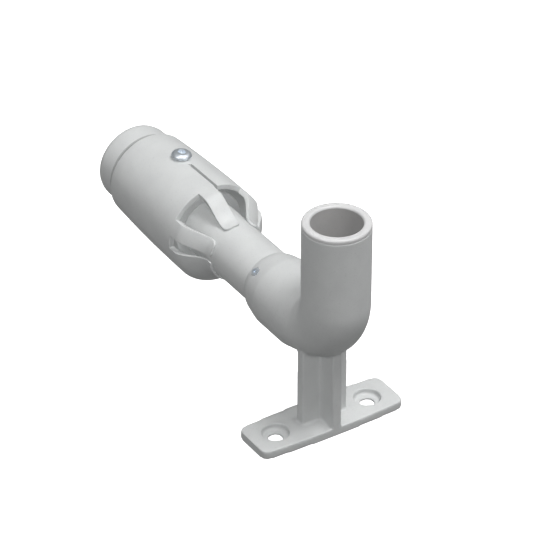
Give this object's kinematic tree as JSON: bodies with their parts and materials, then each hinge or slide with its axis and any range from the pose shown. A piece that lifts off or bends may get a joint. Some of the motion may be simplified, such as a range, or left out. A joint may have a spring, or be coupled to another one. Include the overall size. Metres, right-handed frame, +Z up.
{
  "type": "fishing rod holder",
  "caption": "Screw-down stand with an upright rod socket and a horizontal arm that carries a swivelling rod cup with three spring claws and a lower lip, a turning mouth collar and a lock screw.",
  "frame": {"origin": "centre of the foot plate's underside, midway between the two screw holes", "axes": "+X along the foot plate's long side, +Y along the arm towards the rod cup's mouth, +Z up along the upright socket"},
  "size_m": [0.105, 0.2647, 0.1594],
  "materials": {
    "cast_body": "satin light grey paint over a casting",
    "arm": "satin light grey",
    "cup_body": "light grey moulded plastic, satin",
    "liner": "soft light grey vinyl",
    "rubber": "matt",
    "nylon": "natural nylon",
    "steel": "stainless",
    "brass": "plain"
  },
  "bodies": {
    "stand": {"stand_casting": "cast_body", "upright_liner": "liner", "upright_butt_pad": "rubber", "arm_tube": "arm", "arm_set_screws": "steel", "arm_circlip": "steel", "arm_plug": "nylon"},
    "cup": {"swivel_bush": "nylon", "rod_sleeve": "arm", "cup_shell": "cup_body", "cup_liner": "liner", "cup_butt_pad": "rubber", "screw_insert": "brass"},
    "collar": {"mouth_collar": "cup_body"},
    "lock_screw": {"lock_screw": "steel", "screw_pad": "nylon"}
  },
  "joints": [
    {"name": "cup_swivel", "type": "hinge", "parent": "stand", "child": "cup", "pos_m": [0, 0.15, 0.0735], "axis": [0, 1, 0], "continuous": true},
    {"name": "collar_turn", "type": "hinge", "parent": "cup", "child": "collar", "pos_m": [0, 0.24, 0.0735], "axis": [0, 1, 0], "range_deg": [0, 270]},
    {"name": "lock_screw_turn", "type": "hinge", "parent": "cup", "child": "lock_screw", "pos_m": [0.00291, 0.1705, 0.10677], "axis": [0.0872, 0, 0.9962], "continuous": true}
  ]
}
